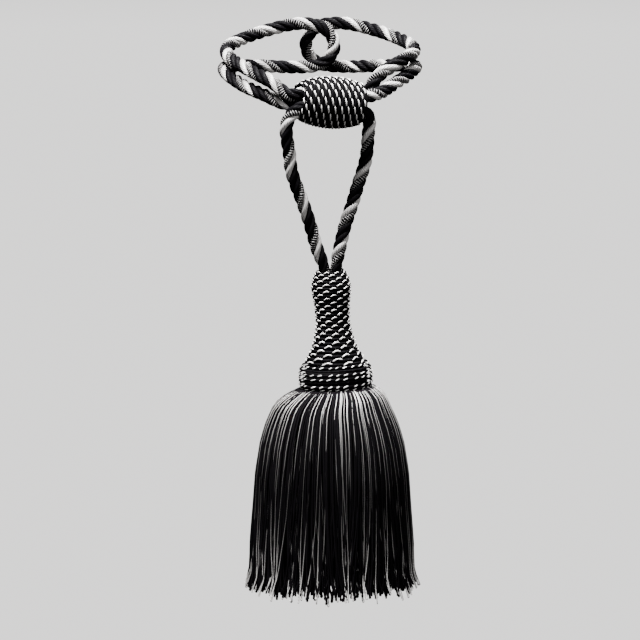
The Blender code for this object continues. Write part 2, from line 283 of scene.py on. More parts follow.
HEADING_PROFILE = (  # radius, height of the band that the fringe is sewn to
    (0.0, HEADING_BOTTOM + 13.0),
    (17.0, HEADING_BOTTOM + 13.0),
    (HEADING_RADIUS - 1.0, HEADING_BOTTOM + 8.0),
    (HEADING_RADIUS - 0.6, HEADING_BOTTOM + 1.2),
    (HEADING_RADIUS - 2.0, HEADING_BOTTOM),
    (0.0, HEADING_BOTTOM),
)

YARN_RADIUS = 0.43
SKIRT_LAYERS = (  # loops, how far in they hang, every how many is silver, height of the foot
    (140, 0.0, 3, -336.0),
    (130, 0.03, 5, -335.5),
    (120, 0.08, 6, -335.5),
    (100, 0.15, 9, -335.0),
    (90, 0.25, 8, -334.5),
    (70, 0.4, 8, -334.0),
    (56, 0.6, 8, -333.5),
)
OUTER_LAYERS = 3  # the black yarns of these are one piece, those further in another
INNER_BULK = 1.35  # the inner yarns are thicker, so that no light comes through
LEG_STATIONS = 23
LEG_GATHERING = 1.35  # a leg's stations lie closer together at the shoulder
LEAN_SPREAD = 4.5  # how far a foot swings aside
LEAN_LOCKS = 7  # how many locks lean together round the skirt
LEAN_SHIFT = 2.1  # how far each layer's locks are turned from the last one's
LEAN_STRAY = 0.9
LEAN_POWER = 2.5  # a leg swings mostly near its foot
LENGTH_SPREAD = 1.7
LENGTH_LIMIT = 2.0  # no loop is longer or shorter by more spreads than this
INWARD_STRAY = 0.03  # how much further in one leg of a loop may hang
WAVES_IN = (4.0, 0.6)  # how fast a leg waves in and out, and how far
WAVES_ASIDE = (5.0, 0.7)
LEAST_RADIUS = 15.0  # a way aside turns a leg no faster than it does this far out
KICK_LENGTH = 0.1  # in shares of the leg
PROUD_LENGTH = 0.5  # and so is this
LOOP_TWIST = (1.5, 4.5)  # how far a closed loop twists, in radians
TWIST_POWER = 3  # the twist comes with the closing
FOOT_TURN = (math.pi * 0.3, math.pi * 0.5, math.pi * 0.7)  # stations round the foot
Yarn = namedtuple("Yarn", "spread, stray, proud, kick, closing, lift, thickness, sizes")
SILVER_YARN = Yarn(
    spread=(1.4, 2.6),  # how far apart a loop's legs start, in loops
    stray=0.7,  # how far a loop hangs from its even place, in loops
    proud=0.6,  # how far it rides on the others at the shoulder
    kick=3.6,  # how far its foot turns outwards
    closing=(25.0, 70.0),  # where its legs begin to close, from the foot
    lift=-0.8,  # how much higher than its layer's foot it ends
    thickness=(0.42, 0.92),  # of the thinnest loop and of the thickest
    sizes=(  # shares of the leg from the foot up, and how thick it is there
        (0.0, 0.1, 0.35, 0.7, 0.85, 1.0),
        (1.45, 0.92, 0.58, 0.52, 0.6, 0.66),
    ),
)
BLACK_YARN = Yarn(
    spread=(0.7, 2.1),
    stray=0.5,
    proud=0.0,
    kick=1.8,
    closing=(5.0, 15.0),
    lift=1.2,
    thickness=(0.95, 1.05),
    sizes=((0.0, 0.12, 0.4, 1.0), (1.4, 1.2, 1.08, 1.05)),
)


# ---------------------------------------------------------------- paths

def run_along(path):
    """The distance along a path at each of its points."""
    steps = np.linalg.norm(np.diff(path, axis=0), axis=1)
    return np.concatenate([[0.0], np.cumsum(steps)])


def unit(vectors):
    return vectors / np.linalg.norm(vectors, axis=1, keepdims=True)


def smooth_path(route, step):
    """Points a step apart along the natural cubic spline through the route."""
    knots = np.array(route, float)
    at = run_along(knots)
    spans = np.diff(at)
    count = len(knots)
    system = np.eye(count)
    slopes = np.diff(knots, axis=0) / spans[:, None]
    right_side = np.zeros_like(knots)
    for i in range(1, count - 1):
        system[i, i - 1] = spans[i - 1]
        system[i, i] = 2 * (spans[i - 1] + spans[i])
        system[i, i + 1] = spans[i]
        right_side[i] = 6 * (slopes[i] - slopes[i - 1])
    bends = np.linalg.solve(system, right_side)
    dense = []
    for i, span in enumerate(spans):
        for t in np.linspace(0.0, span, SPLINE_POINTS, endpoint=False):
            left, right = span - t, t
            dense.append(
                (bends[i] * left**3 + bends[i + 1] * right**3) / (6 * span)
                + (knots[i] / span - bends[i] * span / 6) * left
                + (knots[i + 1] / span - bends[i + 1] * span / 6) * right
            )
    dense.append(knots[-1])
    return resampled(np.array(dense), step)


def resampled(path, step):
    """The same line with its points a step apart."""
    run = run_along(path)
    stations = np.linspace(0.0, run[-1], max(2, round(run[-1] / step) + 1))
    return np.stack([np.interp(stations, run, path[:, k]) for k in range(3)], axis=1)


def carried_normals(path):
    """A normal at each point, carried along the path without twisting about it."""
    tangents = unit(np.gradient(path, axis=0))
    start = np.cross(tangents[0], (0.0, 0.0, 1.0))
    if np.linalg.norm(start) < LEAST_CROSSING:
        start = np.cross(tangents[0], (0.0, 1.0, 0.0))
    normals = [start / np.linalg.norm(start)]
    for tangent in tangents[1:]:
        flat = normals[-1] - tangent * np.dot(normals[-1], tangent)
        normals.append(flat / np.linalg.norm(flat))
    return np.array(normals)


def wrapped(path, normals, angles, offset):
    """A line that goes round the path: offset from it, at an angle from its normal."""
    tangents = unit(np.gradient(path, axis=0))
    outward = unit(normals - tangents * np.sum(normals * tangents, axis=1, keepdims=True))
    across = np.cross(tangents, outward)
    reach = np.broadcast_to(offset, (len(path),))[:, None]
    angles = np.asarray(angles)[:, None]
    return path + reach * (np.cos(angles) * outward + np.sin(angles) * across)


# ---------------------------------------------------------------- meshes

def strand_mesh(strands, radius, roundness=1):
    """Round strands along lists of points in mm, each with a thickness share for each point.

    The UV map runs along a strand in mm and once round it.
    """
    curve = bpy.data.curves.new("strands", "CURVE")
    curve.dimensions = "3D"
    curve.bevel_depth = radius * MM
    curve.bevel_resolution = roundness
    curve.use_fill_caps = True
    for path, shares in strands:
        spline = curve.splines.new("POLY")
        spline.points.add(len(path) - 1)
        flat = np.concatenate([path * MM, np.ones((len(path), 1))], axis=1)
        spline.points.foreach_set("co", flat.ravel())
        spline.points.foreach_set("radius", np.broadcast_to(shares, (len(path),)))
    holder = bpy.data.objects.new("strands", curve)
    bpy.context.scene.collection.objects.link(holder)
    graph = bpy.context.evaluated_depsgraph_get()
    mesh = bpy.data.meshes.new_from_object(holder.evaluated_get(graph))
    bpy.data.objects.remove(holder, do_unlink=True)
    bpy.data.curves.remove(curve)
    length = float(np.mean([run_along(path)[-1] for path, _ in strands]))
    uv = mesh.uv_layers[0].data
    values = np.empty(len(uv) * 2, np.float32)
    uv.foreach_get("uv", values)
    values[0::2] *= length
    uv.foreach_set("uv", values)
    return mesh


def turned_mesh(profile, segments, place=None):
    """A closed profile of (radius, height) in mm spun about Z, then put in its place."""
    bm = bmesh.new()
    verts = [bm.verts.new((r * MM, 0, h * MM)) for r, h in profile]
    edges = [bm.edges.new(pair) for pair in zip(verts, verts[1:])]
    if profile[0][0] > 0:
        edges.append(bm.edges.new((verts[-1], verts[0])))
    bmesh.ops.spin(
        bm,
        geom=verts + edges,
        axis=(0, 0, 1),
        cent=(0, 0, 0),
        angle=math.tau,
        steps=segments,
        use_merge=True,
    )
    bmesh.ops.remove_doubles(bm, verts=bm.verts, dist=WELD)
    bmesh.ops.recalc_face_normals(bm, faces=bm.faces)
    if place is not None:
        bmesh.ops.transform(bm, matrix=place, verts=bm.verts)
    mesh = bpy.data.meshes.new("turned")
    bm.to_mesh(mesh)
    bm.free()
    return mesh


def add_piece(name, parts, slot, *nodes):
    """One object of several meshes, each with its own finish, standing for the CAD nodes."""
    bm = bmesh.new()
    bm.loops.layers.uv.new("UVMap")
    for index, (mesh, _) in enumerate(parts):
        mesh.polygons.foreach_set("material_index", [index] * len(mesh.polygons))
        bm.from_mesh(mesh)
        bpy.data.meshes.remove(mesh)
    bmesh.ops.remove_doubles(bm, verts=bm.verts, dist=WELD)
    for face in bm.faces:
        face.smooth = True
    mesh = bpy.data.meshes.new(name)
    bm.to_mesh(mesh)
    bm.free()
    for _, finish in parts:
        mesh.materials.append(finish)
    piece = bpy.data.objects.new(name, mesh)
    bpy.context.scene.collection.objects.link(piece)
    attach(piece, "root")
    if nodes:
        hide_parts(*nodes)
    return piece


# ---------------------------------------------------------------- finishes

class Flow:
    """A shader socket that takes arithmetic: an expression on it adds its Math nodes."""

    def __init__(self, finish, socket):
        self.finish = finish
        self.socket = socket

    def math(self, operation, *others):
        values = dict(enumerate((self, *others)))
        return self.finish.node("ShaderNodeMath", {"operation": operation}, values)["Value"]

    def __add__(self, other):
        return self.math("ADD", other)

    def __mul__(self, other):
        return self.math("MULTIPLY", other)

    __radd__ = __add__
    __rmul__ = __mul__

    def wave(self):
        """A sine of the value, from 0 to 1."""
        return self.math("SINE") * 0.5 + 0.5


class Outputs:
    """A node's outputs, taken by name or by number."""

    def __init__(self, finish, node):
        self.finish = finish
        self.node = node

    def __getitem__(self, key):
        return Flow(self.finish, self.node.outputs[key])


class Finish:
    """A Principled material and the nodes that vary it."""

    def __init__(self, name, roughness, **constants):
        self.material = bpy.data.materials.new(name)
        self.material.use_nodes = True
        self.tree = self.material.node_tree
        self.inputs = self.tree.nodes["Principled BSDF"].inputs
        self.inputs["Roughness"].default_value = roughness
        for socket, value in constants.items():
            self.inputs[socket.replace("_", " ")].default_value = value

    def node(self, kind, settings, values):
        """Adds a node: first its settings, then its inputs by name or by number."""
        node = self.tree.nodes.new(kind)
        for key, value in settings.items():
            setattr(node, key, value)
        for key, value in values.items():
            self.feed(node.inputs[key], value)
        return Outputs(self, node)

    def feed(self, socket, value):
        if isinstance(value, Flow):
            self.tree.links.new(value.socket, socket)
        else:
            socket.default_value = value

    def mix(self, share, first, second):
        """A colour between two, through the Mix node's colour sockets."""
        values = {0: share, 6: (*first, 1.0), 7: (*second, 1.0)}
        return self.node("ShaderNodeMix", {"data_type": "RGBA"}, values)[2]


GRAIN_ALONG = 0.35  # grains to a mm
GRAIN_AROUND = 9.0  # grains round a strand
GRAIN_DETAIL = 3.0
CLOUD_SCALE = 90.0  # clouds to a metre
CLOUD_DETAIL = 2.0
GRAIN_TONE = 0.45  # how much each makes lighter
# painted shade: how much darker the grooves between filaments are than their crests
GROOVE_SHADE_TONE = 0.35
CLOUD_TONE = 0.25
GRAIN_RELIEF = 0.6
RIDGE_RELIEF = 0.6


def satin_yarn(
    name, colour, shade, roughness, filaments, twist, relief, gloss, metal=0.0, painted_shade_band=None
):
    """Spun satin: filaments twist round the strand, with painted shade in the grooves between
    them and colour that differs at random.

    filaments is how many show round the strand, and twist the turns they make in a mm.
    The last argument, if given, is painted shade on the hanging yarn: how far down it is deepest,
    how far off it has faded, and the share of the yarn's lightness left where it is deepest.
    """
    finish = Finish(name, roughness, Specular_IOR_Level=gloss, Metallic=metal)
    texture = finish.node("ShaderNodeTexCoord", {}, {})
    split = finish.node("ShaderNodeSeparateXYZ", {}, {"Vector": texture["UV"]})
    along = split["X"]
    around = split["Y"] + along * twist
    ridges = (around * (math.tau * filaments)).wave()
    lay = {"X": along * GRAIN_ALONG, "Y": around * GRAIN_AROUND, "Z": 0.0}
    laid = finish.node("ShaderNodeCombineXYZ", {}, lay)
    grains = {"Vector": laid["Vector"], "Scale": 1.0, "Detail": GRAIN_DETAIL}
    grain = finish.node("ShaderNodeTexNoise", {}, grains)["Fac"]
    clouds = {"Vector": texture["Object"], "Scale": CLOUD_SCALE, "Detail": CLOUD_DETAIL}
    cloud = finish.node("ShaderNodeTexNoise", {}, clouds)["Fac"]
    # grain and clouds vary the colour at random; the ridges add painted shade, darker in the
    # grooves between filaments
    tone_and_shade = grain * GRAIN_TONE + ridges * GROOVE_SHADE_TONE + cloud * CLOUD_TONE
    # painted shade: darkens the yarn round a height below the shoulder, fading out above and
    # below
    if painted_shade_band:
        depth, reach, least = painted_shade_band
        place = finish.node("ShaderNodeSeparateXYZ", {}, {"Vector": texture["Object"]})
        away = (place["Z"] + depth * MM).math("ABSOLUTE") * (1 / (reach * MM))
        risen = away.math("MINIMUM", 1.0)
        tone_and_shade = tone_and_shade * (risen * risen * (1 - least) + least)
    finish.feed(finish.inputs["Base Color"], finish.mix(tone_and_shade, shade, colour))
    height = ridges * RIDGE_RELIEF + grain * GRAIN_RELIEF
    bump = finish.node("ShaderNodeBump", {}, {"Distance": relief * MM, "Height": height})
    finish.feed(finish.inputs["Normal"], bump["Normal"])
    return finish.material


# each *_SHADE is the dark end of its yarn's colour: grain and clouds vary towards it at random,
# the painted shade of the grooves between filaments darkens towards it, and on the fringe's
# silver so does the painted shade of its hanging middle
ROPE_SILVER = (0.33, 0.318, 0.311)
ROPE_SHADE = (0.05, 0.048, 0.047)
CORD_SILVER = (0.48, 0.464, 0.454)
CORD_SHADE = (0.14, 0.135, 0.132)
FINE_SILVER = (0.42, 0.405, 0.397)
FINE_SHADE = (0.014, 0.0135, 0.013)
THREAD_GREY = (0.16, 0.154, 0.151)
THREAD_SHADE = (0.05, 0.048, 0.047)
BLACK = (0.0019, 0.0017, 0.0021)
BLACK_SHADE = (0.0009, 0.0008, 0.0009)

silver_ply = satin_yarn(
    "silver_satin_ply",
    ROPE_SILVER,
    ROPE_SHADE,
    roughness=0.38,
    filaments=9,
    twist=0.05,
    relief=0.3,
    gloss=0.45,
)
black_ply = satin_yarn(
    "black_satin_ply",
    BLACK,
    BLACK_SHADE,
    roughness=0.44,
    filaments=9,
    twist=0.05,
    relief=0.18,
    gloss=0.008,
)
core_ply = satin_yarn(
    "black_core_ply",
    BLACK,
    BLACK_SHADE,
    roughness=0.45,
    filaments=8,
    twist=0.05,
    relief=0.1,
    gloss=0.012,
)
thread = satin_yarn(
    "silver_thread",
    THREAD_GREY,
    THREAD_SHADE,
    roughness=0.36,
    filaments=4,
    twist=0.2,
    relief=0.05,
    gloss=0.35,
)
cord_silver = satin_yarn(
    "winding_silver",
    CORD_SILVER,
    CORD_SHADE,
    roughness=0.32,
    filaments=6,
    twist=0.12,
    relief=0.08,
    gloss=1.0,
)
cord_black = satin_yarn(
    "winding_black",
    BLACK,
    BLACK_SHADE,
    roughness=0.5,
    filaments=6,
    twist=0.12,
    relief=0.08,
    gloss=0.006,
)
yarn_silver = satin_yarn(
    "fringe_silver",
    FINE_SILVER,
    FINE_SHADE,
    roughness=0.32,
    filaments=2,
    twist=0.42,
    relief=0.14,
    gloss=0.7,
    metal=0.15,
    # painted shade on the silver yarns' hanging middle, deepest 276 mm down
    painted_shade_band=(276.0, 58.0, 0.05),
)
yarn_black = satin_yarn(
    "fringe_black",
    BLACK,
    BLACK_SHADE,
    roughness=0.5,
    filaments=2,
    twist=0.42,
    relief=0.1,
    gloss=0.004,
)
mould_black = satin_yarn(
    "mould_black",
    BLACK_SHADE,
    BLACK_SHADE,
    roughness=0.8,
    filaments=6,
    twist=0.1,
    relief=0.02,
    gloss=0.02,
)


# ---------------------------------------------------------------- ropes

def barrel_matrix():
    """The barrel's own Z axis laid along its length, its X axis up and its Y axis to the back."""
    lay_down = Euler((0, math.pi / 2, 0)).to_matrix().to_4x4()
    tip = Matrix.Rotation(BARREL_TIP, 4, "Y")
    yaw = Matrix.Rotation(BARREL_YAW, 4, "Z")
    return Matrix.Translation(Vector(BARREL_CENTRE) * MM) @ yaw @ tip @ lay_down


def bore_point(strand, along):
    """A strand's centre in the bore, in mm: along is -1 at the left face and 1 at the right."""
    share = (along + 1) / 2
    left, right = BORE_ANGLES[strand]
    angle = math.radians(left + (right - left) * share)
    lift = BORE_SAG[0] + (BORE_SAG[1] - BORE_SAG[0]) * share
    local = Vector(
        (
            -(STRAND_OFFSET * math.sin(angle) + lift) * MM,
            STRAND_OFFSET * math.cos(angle) * MM,
            along * BARREL_LENGTH / 2 * MM,
        )
    )
    return tuple((barrel_matrix() @ local) / MM)


def add_rope(name, route, slip, pinched_ends=False):
    """Four plies laid round one line: silver, striped, black and black."""
    path = smooth_path(route, ROPE_LAY / STATIONS_PER_LAY)
    run = run_along(path)
    sizes = np.ones(len(path))
    if pinched_ends:
        from_end = np.minimum(run, run[-1] - run)
        sizes = np.interp(from_end, (0.0, PINCH_LENGTH), (PINCH_SHARE, 1.0))
    normals = carried_normals(path)
    lines = []
    marks, slips = zip(*slip)
    slipped = run - np.interp(run, marks, slips)
    for ply in range(ROPE_PLIES):
        angles = math.tau * (slipped / ROPE_LAY - ply / ROPE_PLIES)
        lines.append(wrapped(path, normals, angles, PLY_OFFSET * sizes))
    silver, striped, *blacks = lines
    fine = resampled(striped, THREAD_PITCH / THREAD_STATIONS)
    turns = math.tau * run_along(fine) / THREAD_PITCH
    fine_sizes = np.interp(run_along(fine), run_along(striped), sizes)
    thread_reach = (PLY_RADIUS - THREAD_SINK) * fine_sizes
    spiral = wrapped(fine, carried_normals(fine), turns, thread_reach)
    parts = [
        (strand_mesh([(silver, sizes)], PLY_RADIUS, SILVER_ROUNDNESS), silver_ply),
        (strand_mesh([(striped, sizes)], PLY_RADIUS, PLY_ROUNDNESS), core_ply),
        (strand_mesh([(spiral, fine_sizes)], THREAD_RADIUS, THREAD_ROUNDNESS), thread),
        (strand_mesh([(line, sizes) for line in blacks], PLY_RADIUS, PLY_ROUNDNESS), black_ply),
    ]
    rope = add_piece(name, parts, "rope", name.replace("_of_plies", ""))


def add_ropes():
    arch = [
        *ARCH_LEFT_LEG,
        *(bore_point("arch", along) for along in THROUGH_BORE),
        *ARCH_RIGHT_LEG,
    ]
    add_rope("arch_rope_of_plies", arch, ARCH_SLIP, pinched_ends=True)
    embrace = [
        *(bore_point("left_upper", along) for along in (SPLICE, 0.5, 1.0)),
        *EMBRACE_RIGHT,
        *(bore_point("left_lower", along) for along in reversed(THROUGH_BORE)),
        *reversed(EMBRACE_LEFT),
        *(bore_point("left_upper", along) for along in (-1.0, -0.5, -SPLICE)),
    ]
    add_rope("embrace_rope_of_plies", embrace, EMBRACE_SLIP)


# ---------------------------------------------------------------- windings

def cord_plies(path, normals, angles, sizes, peak=0.0, slimness=1.0):
    """The silver and the black ply of a two-ply cord, laid to the left.

    The silver ply shows as a row of dashes where it rises over the black one. A dash
    is set off to the side by peak at its middle, and slimmed by slimness.
    """
    tangents = unit(np.gradient(path, axis=0))
    across = np.cross(tangents, normals)
    full, gone = math.cos(SILVER_FULL), math.cos(SILVER_GONE)
    shown = np.clip((np.cos(angles) - gone) / (full - gone), 0, 1)
    squeezed = slimness * sizes * (SILVER_LEAST + (1 - SILVER_LEAST) * shown)
    ridge = np.arcsin(np.cos(angles)) * 2 / math.pi
    rise = ((SILVER_LIFT + SILVER_RISE * np.cos(angles)) * sizes)[:, None]
    swing = ((SILVER_SWING * np.sin(angles) + peak * ridge) * sizes)[:, None]
    silver = path + rise * normals - swing * across
    black = path - (BLACK_RISE * np.cos(angles) * sizes)[:, None] * normals
    return (
        strand_mesh([(silver, squeezed)], SILVER_PLY_RADIUS),
        strand_mesh([(black, sizes)], BLACK_PLY_RADIUS),
    )


def barrel_radius(height):
    share = 2 * height / BARREL_LENGTH
    swell = BARREL_MIDDLE_RADIUS - BARREL_END_RADIUS
    return BARREL_END_RADIUS + swell * (1 - share**2)


def add_barrel():
    past, rim_height, rim_radius = BARREL_RIM
    turns = np.arange(0.0, BARREL_TURNS + past[-1], 1 / STATIONS_PER_TURN)
    half = BARREL_LENGTH / 2
    heights = (half - CORD_RADIUS) * np.clip(1 - 2 * turns / BARREL_TURNS, -1, 1)
    radii = barrel_radius(heights) - CORD_RADIUS
    heights += np.interp(turns - BARREL_TURNS, past, rim_height)
    radii += np.interp(turns - BARREL_TURNS, past, rim_radius)
    around = math.tau * turns
    outward = np.stack([np.cos(around), np.sin(around), np.zeros(len(turns))], axis=1)
    path = outward * radii[:, None]
    path[:, 2] = heights
    place = np.array(barrel_matrix())
    path = placed(path, place)
    tilt = np.clip(heights / half, -1, 1) ** END_TURN_POWER
    endward = END_TURN_TILT * np.sign(heights) * tilt
    outward = outward * np.cos(endward)[:, None]
    outward[:, 2] = np.sin(endward)
    normals = outward @ place[:3, :3].T
    angles = math.tau * BARREL_LAYS_PER_TURN * turns
    sizes = np.ones(len(turns))
    silver, black = cord_plies(path, normals, angles, sizes, slimness=BARREL_SILVER_SHARE)
    end = half - TUBE_SHORTER
    heights = np.linspace(end, -end, TUBE_RINGS)
    profile = [
        (barrel_radius(height) - TUBE_DEPTH + TUBE_SWELL * abs(height) / half, height)
        for height in heights
    ]
    profile += [
        (BARREL_MOUTH_RADIUS - MOUTH_NARROWER, -end),
        (BARREL_BORE_RADIUS, BARREL_MOUTH_DEPTH - half),
        (BARREL_BORE_RADIUS, half - BARREL_MOUTH_DEPTH),
        (BARREL_MOUTH_RADIUS - MOUTH_NARROWER, end),
    ]
    tube = turned_mesh(profile, MOULD_SEGMENTS, barrel_matrix())
    add_piece(
        "barrel_winding",
        [(silver, cord_silver), (black, cord_black), (tube, mould_black)],
        "winding",
        "barrel",
    )


def tassel_place():
    """The tassel's own axis leans, with heights along it counted as on an upright one."""
    top = Matrix.Translation(Vector(TASSEL_TOP) * MM)
    lean = Matrix.Rotation(-TASSEL_LEAN, 4, "Y")
    return top @ lean @ Matrix.Translation((0, 0, -HEAD_TOP * MM))


def placed(points, place):
    """Points in mm, moved by a matrix in metres."""
    return points @ place[:3, :3].T + place[:3, 3] / MM


def add_head():
    heights, radii = np.array(HEAD_PROFILE).T
    run = run_along(HEAD_PROFILE)
    turn_count = round(run[-1] / ((HEAD_FIRST_PITCH + HEAD_LAST_PITCH) / 2))
    turns = np.linspace(0.0, turn_count, turn_count * STATIONS_PER_TURN)
    share = turns / turn_count
    growth = (HEAD_LAST_PITCH - HEAD_FIRST_PITCH) / (HEAD_LAST_PITCH + HEAD_FIRST_PITCH)
    at = run[-1] * (share * (1 - growth) + share**2 * growth)
    pitch = HEAD_FIRST_PITCH + (HEAD_LAST_PITCH - HEAD_FIRST_PITCH) * share
    sizes = pitch / (2 * CORD_RADIUS)
    height = np.interp(at, run, heights)
    radius = np.interp(at, run, radii)
    lean = np.arctan(np.gradient(radius) / np.gradient(height))
    around = math.tau * turns
    ahead, aside = np.cos(around), np.sin(around)
    level = np.cos(lean)
    outward = np.stack([ahead * level, aside * level, -np.sin(lean)], axis=1)
    path = np.stack([ahead * radius, aside * radius, height], axis=1)
    place = np.array(tassel_place())
    path = placed(path - outward * CORD_RADIUS * sizes[:, None], place)
    angles = math.tau * HEAD_LAYS_PER_TURN * turns
    normals = outward @ place[:3, :3].T
    silver, black = cord_plies(path, normals, angles, sizes, HEAD_PEAK, HEAD_SILVER_SHARE)
    base_height, base_radius = HEAD_PROFILE[-1]
    profile = [
        (0, HEAD_TOP - HEAD_SEAT_DEPTH),
        (MOULD_SEAT_RADIUS, HEAD_TOP - HEAD_SEAT_DEPTH),
        (MOULD_SEAT_RADIUS, MOULD_TOP),
    ]
    profile += [
        (max(radius - MOULD_DEPTH, MOULD_LEAST_RADIUS), height - MOULD_LOWER)
        for height, radius in HEAD_PROFILE[1:-1]
    ]
    profile += [(base_radius - MOULD_DEPTH, base_height), (0, base_height)]
    mould = turned_mesh(profile, MOULD_SEGMENTS, tassel_place())
    add_piece(
        "head_winding",
        [(silver, cord_silver), (black, cord_black), (mould, mould_black)],
        "winding",
        "head",
    )


def ring_plies(radius, height, share, random):
    """A two-ply cord round the tassel, not quite level."""
    around = np.linspace(0.0, math.tau, COLLAR_LAYS * COLLAR_STATIONS + 1)
    outward = np.stack([np.cos(around), np.sin(around), 0 * around], axis=1)
    ring = outward * radius
    ring[:, 2] = height + COLLAR_WAVE * np.sin(around + random.uniform(0, math.tau))
    wander = sum(
        much * np.sin(times * around + random.uniform(0, math.tau))
        for times, much in COLLAR_WANDER
    )
    angles = COLLAR_LAYS * around + COLLAR_UNEVEN * wander
    sizes = np.full(len(ring), share)
    place = np.array(tassel_place())
    normals = outward @ place[:3, :3].T
    path = placed(ring, place)
    return cord_plies(path, normals, angles, sizes, slimness=HEAD_SILVER_SHARE)


def add_collar():
    random = np.random.default_rng(3)
    radii = [*COLLAR_RADII[:-1], COLLAR_RADII[-1] + COLLAR_SWELL]
    for i, (radius, share) in enumerate(zip(radii, COLLAR_SHARES)):
        height = COLLAR_TOP - COLLAR_PITCH * i
        silver, black = ring_plies(radius, height, share, random)
        plain = i in COLLAR_BLACK
        add_piece(
            f"collar_twist_{i + 1}",
            [(silver, cord_black if plain else cord_silver), (black, cord_black)],
            "black_cord" if plain else "winding",
            f"collar_cord_{i + 1}",
        )
    silver, black = ring_plies(HEADER_RADIUS, HEADER_HEIGHT, HEADER_SHARE, random)
    add_piece("fringe_header_cord", [(silver, cord_silver), (black, cord_black)], "fringe")


# ---------------------------------------------------------------- skirt

def leg_line(angle, inward, foot, swing, yarn, waves):
    """One leg of a fringe yarn, from the heading to its foot, in mm."""
    heights, radii = np.array(SKIRT_OUTLINE).T
    run = run_along(SKIRT_OUTLINE)
    share = np.linspace(0.0, 1.0, LEG_STATIONS) ** LEG_GATHERING
    at = share * run[-1]
    radius = radii[0] + (np.interp(at, run, radii) - radii[0]) * (1 - inward)
    drop = (foot - heights[0]) / (heights[-1] - heights[0])
    height = heights[0] + (np.interp(at, run, heights) - heights[0]) * drop
    (reach_in, start_in), (reach_aside, start_aside) = waves
    radius = radius + reach_in * np.sin(share * WAVES_IN[0] + start_in) * share
    from_kick = np.clip((share - 1) / KICK_LENGTH + 1, 0, 1)
    radius = radius + yarn.kick * from_kick**2
    radius = radius + yarn.proud * np.clip(1 - share / PROUD_LENGTH, 0, 1)
    aside = swing * share**LEAN_POWER
    aside = aside + reach_aside * np.sin(share * WAVES_ASIDE[0] + start_aside) * share
    angle = angle + aside / np.maximum(radius, LEAST_RADIUS)
    leg = np.stack([radius * np.cos(angle), radius * np.sin(angle), height], axis=1)
    leaning = np.interp(height, (SKIRT_UPRIGHT_BELOW, HEADING_BOTTOM), (0.0, 1.0))[:, None]
    leant = placed(leg, np.array(tassel_place()))
    return leant * leaning + (leg + SKIRT_PLACE) * (1 - leaning)


def bullion_loop(angle, apart, inward, foot, swing, yarn, random):
    """A doubled yarn: down one leg, round its foot and up the other leg."""
    waves = [
        (random.normal(0, reach), random.uniform(0, math.tau))
        for _, reach in (WAVES_IN, WAVES_ASIDE)
    ]
    legs = []
    for side in (-1, 1):
        further_in = inward + random.uniform(0, INWARD_STRAY)
        start = angle + side * apart / 2
        legs.append(leg_line(start, further_in, foot, swing, yarn, waves))
    middle = (legs[0] + legs[1]) / 2
    from_foot = run_along(middle)[-1] - run_along(middle)
    open_share = np.clip(from_foot / random.uniform(*yarn.closing), 0, 1)[:, None]
    tangential = unit(legs[0] - legs[1])
    radial = np.cross(tangential, (0.0, 0.0, 1.0))
    twist = (1 - open_share) ** TWIST_POWER * random.uniform(*LOOP_TWIST)
    closed = YARN_RADIUS * (np.cos(twist) * tangential + np.sin(twist) * radial)
    offset = (legs[0] - legs[1]) / 2 * open_share + closed * (1 - open_share)
    side = offset[-1]
    down = np.array([0.0, 0.0, -1.0]) * YARN_RADIUS
    turn = [middle[-1] + side * math.cos(a) + down * math.sin(a) for a in FOOT_TURN]
    return np.concatenate([middle + offset, turn, (middle - offset)[::-1]])


def add_skirt():
    random = np.random.default_rng(13)
    silver, outer, inner = [], [], []
    from_foot = np.abs(np.linspace(-1, 1, 2 * LEG_STATIONS + len(FOOT_TURN)))
    for layer, (count, inward, silver_each, foot) in enumerate(SKIRT_LAYERS):
        black = outer if layer < OUTER_LAYERS else inner
        for i in range(count):
            shiny = i % silver_each == silver_each // 2
            strands, yarn = (silver, SILVER_YARN) if shiny else (black, BLACK_YARN)
            angle = math.tau * (i + random.uniform(-1, 1) * yarn.stray) / count
            apart = random.uniform(*yarn.spread) * math.tau / count
            lock = math.sin(LEAN_LOCKS * angle + LEAN_SHIFT * layer)
            swing = LEAN_SPREAD * (lock + random.normal(0, LEAN_STRAY))
            shorter = LENGTH_SPREAD * np.clip(random.normal(), -LENGTH_LIMIT, LENGTH_LIMIT)
            end = foot + yarn.lift + shorter
            loop = bullion_loop(angle, apart, inward, end, swing, yarn, random)
            thickness = random.uniform(*yarn.thickness)
            if strands is inner:
                thickness = thickness * INNER_BULK
            strands.append((loop, np.interp(from_foot, *yarn.sizes) * thickness))
    silver_yarns, outer_yarns, inner_yarns = (
        strand_mesh(strands, YARN_RADIUS) for strands in (silver, outer, inner)
    )
    heading = turned_mesh(HEADING_PROFILE, MOULD_SEGMENTS, tassel_place())
    add_piece("skirt_silver_yarns", [(silver_yarns, yarn_silver)], "fringe")
    add_piece(
        "skirt_black_yarns",
        [(outer_yarns, yarn_black), (heading, mould_black)],
        "fringe",
        "skirt",
    )
    add_piece("skirt_inner_yarns", [(inner_yarns, yarn_black)], "fringe")


# ---------------------------------------------------------------- setting

